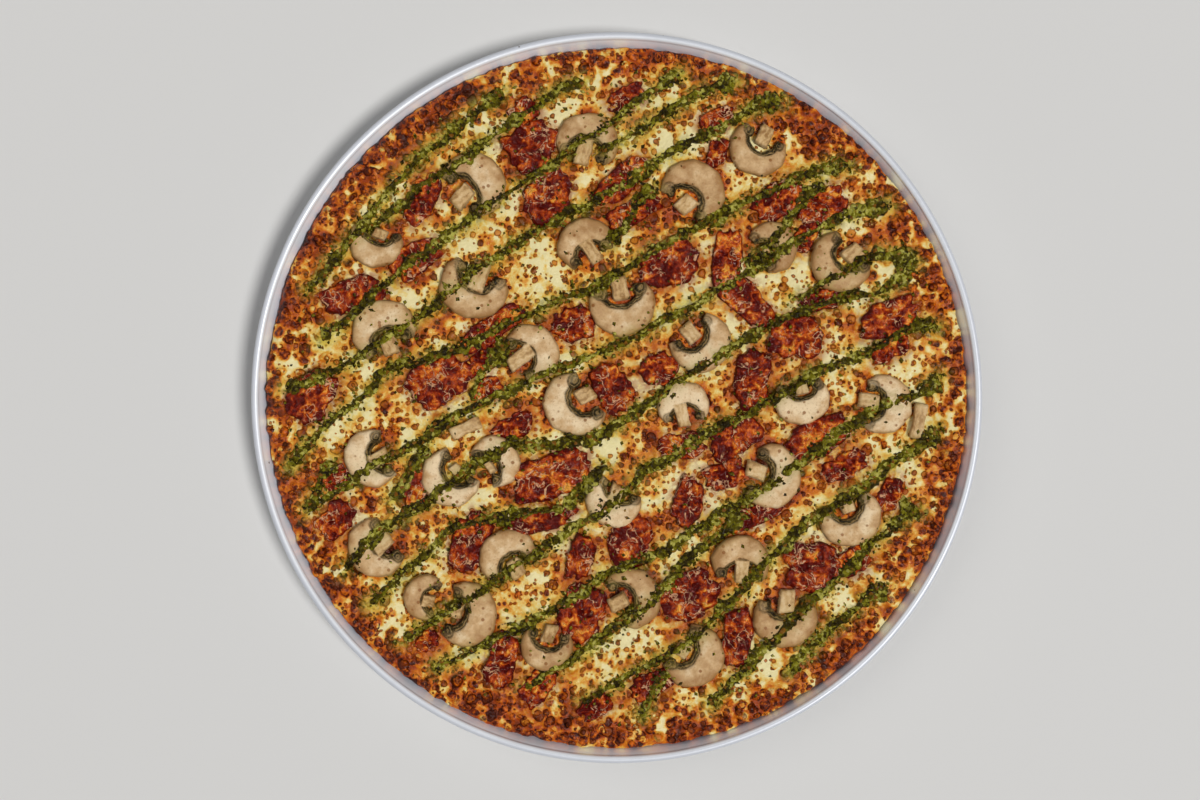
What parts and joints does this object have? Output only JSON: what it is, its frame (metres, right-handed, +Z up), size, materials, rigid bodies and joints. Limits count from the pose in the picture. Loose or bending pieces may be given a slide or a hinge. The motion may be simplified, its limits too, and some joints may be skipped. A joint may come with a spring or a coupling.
{
  "type": "pan pizza",
  "caption": "Round pan pizza in its aluminium pan: browned cheese, sliced mushrooms, dried tomato pieces and diagonal strokes of green pesto.",
  "frame": {"origin": "centre of the pan's flat underside, where the part stands", "axes": "+Z up out of the pan, +Y towards the top of the picture and +X to its right"},
  "size_m": [0.4062, 0.4062, 0.0268],
  "materials": {
    "pan_metal": "satin, lightly scuffed",
    "baked_cheese": "baked cheese and crust, slightly oily",
    "mushroom": "baked mushroom flesh, slightly moist",
    "dried_tomato": "wrinkled and oily"
  },
  "bodies": {
    "root": {"pan": "pan_metal", "pizza_base": "baked_cheese", "mushroom_01": "mushroom", "mushroom_02": "mushroom", "mushroom_03": "mushroom", "mushroom_04": "mushroom", "mushroom_05": "mushroom", "mushroom_06": "mushroom", "mushroom_07": "mushroom", "mushroom_08": "mushroom", "mushroom_09": "mushroom", "mushroom_10": "mushroom", "mushroom_11": "mushroom", "mushroom_12": "mushroom", "mushroom_13": "mushroom", "mushroom_14": "mushroom", "mushroom_15": "mushroom", "mushroom_16": "mushroom", "mushroom_17": "mushroom", "mushroom_18": "mushroom", "mushroom_19": "mushroom", "mushroom_20": "mushroom", "mushroom_21": "mushroom", "mushroom_22": "mushroom", "mushroom_23": "mushroom", "mushroom_24": "mushroom", "mushroom_25": "mushroom", "mushroom_26": "mushroom", "mushroom_27": "mushroom", "mushroom_28": "mushroom", "mushroom_29": "mushroom", "mushroom_30": "mushroom", "mushroom_31": "mushroom", "mushroom_32": "mushroom", "mushroom_stem_1": "mushroom", "mushroom_stem_2": "mushroom", "tomato_01": "dried_tomato", "tomato_02": "dried_tomato", "tomato_03": "dried_tomato", "tomato_04": "dried_tomato", "tomato_05": "dried_tomato", "tomato_06": "dried_tomato", "tomato_07": "dried_tomato", "tomato_08": "dried_tomato", "tomato_09": "dried_tomato", "tomato_10": "dried_tomato", "tomato_11": "dried_tomato", "tomato_12": "dried_tomato", "tomato_13": "dried_tomato", "tomato_14": "dried_tomato", "tomato_15": "dried_tomato", "tomato_16": "dried_tomato", "tomato_17": "dried_tomato", "tomato_18": "dried_tomato", "tomato_19": "dried_tomato", "tomato_20": "dried_tomato", "tomato_21": "dried_tomato", "tomato_22": "dried_tomato", "tomato_23": "dried_tomato", "tomato_24": "dried_tomato"}
  },
  "joints": []
}
